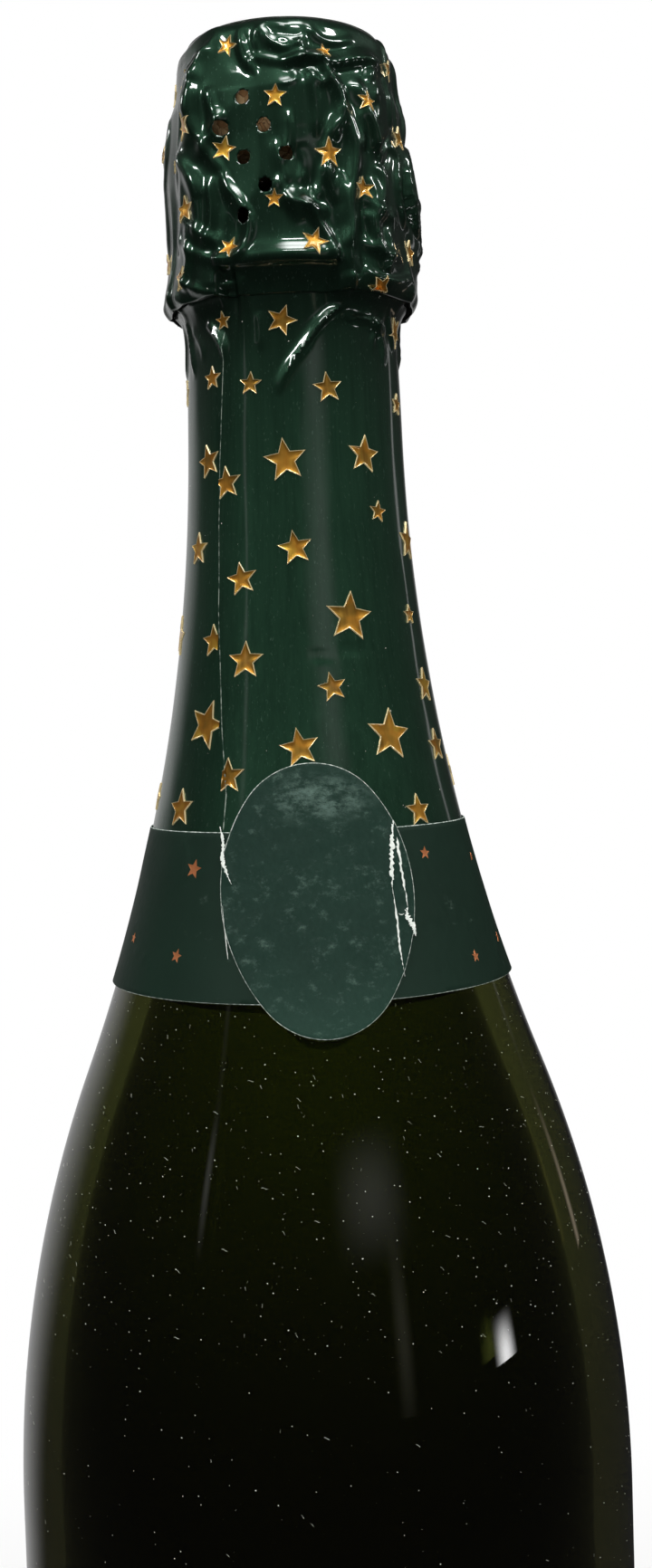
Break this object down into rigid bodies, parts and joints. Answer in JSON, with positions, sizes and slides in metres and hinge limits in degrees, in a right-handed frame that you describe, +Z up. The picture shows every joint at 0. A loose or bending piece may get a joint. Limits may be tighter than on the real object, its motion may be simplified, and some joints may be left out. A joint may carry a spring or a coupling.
{
  "type": "sparkling wine bottle",
  "caption": "Unopened sparkling wine bottle: dark green glass with a punt, mushroom stopper, twisted wire cage and cap, foil capsule, paper neck band and blank oval seal.",
  "frame": {"origin": "middle of the ring that the bottle stands on, on the standing plane", "axes": "+Z up along the bottle's axis; -Y faces the viewer in the picture, with the oval seal near it; +X is to the viewer's right, where the cage's folded tab lies"},
  "size_m": [0.0886, 0.0884, 0.3208],
  "materials": {
    "green_glass": "fire-polished gloss, dark olive green",
    "wine": "clear pale gold liquid",
    "agglomerate_cork": "matte, pressed cork granules",
    "natural_cork": "matte natural cork",
    "cage_wire": "drawn galvanised wire",
    "cap_tin": "gold lacquered tinplate, plain",
    "capsule_foil": "crumpled foil, glossy dark green lacquer with embossed gold stars",
    "label_paper": "matte dark green printed paper, bare of text"
  },
  "bodies": {
    "bottle": {"glass_bottle": "green_glass", "wine": "wine", "foil_sleeve": "capsule_foil", "neck_band": "label_paper", "seal_sticker": "label_paper"},
    "stopper": {"cork_body": "agglomerate_cork", "cork_disc_upper": "natural_cork", "cork_disc_lower": "natural_cork"},
    "cage": {"cage_frame": "cage_wire", "cage_belt": "cage_wire", "cage_cap": "cap_tin"},
    "hood": {"foil_hood": "capsule_foil", "foil_top_disc": "capsule_foil"}
  },
  "joints": [
    {"name": "stopper_pull", "type": "slide", "parent": "bottle", "child": "stopper", "axis": [0, 0, 1], "range_m": [0, 0.06], "deforming": ["cage_belt"]},
    {"name": "cage_lift", "type": "slide", "parent": "stopper", "child": "cage", "axis": [0, 0, 1], "range_m": [0, 0.06], "deforming": ["cage_belt"]},
    {"name": "hood_lift", "type": "slide", "parent": "cage", "child": "hood", "axis": [0, 0, 1], "range_m": [0, 0.06]}
  ]
}
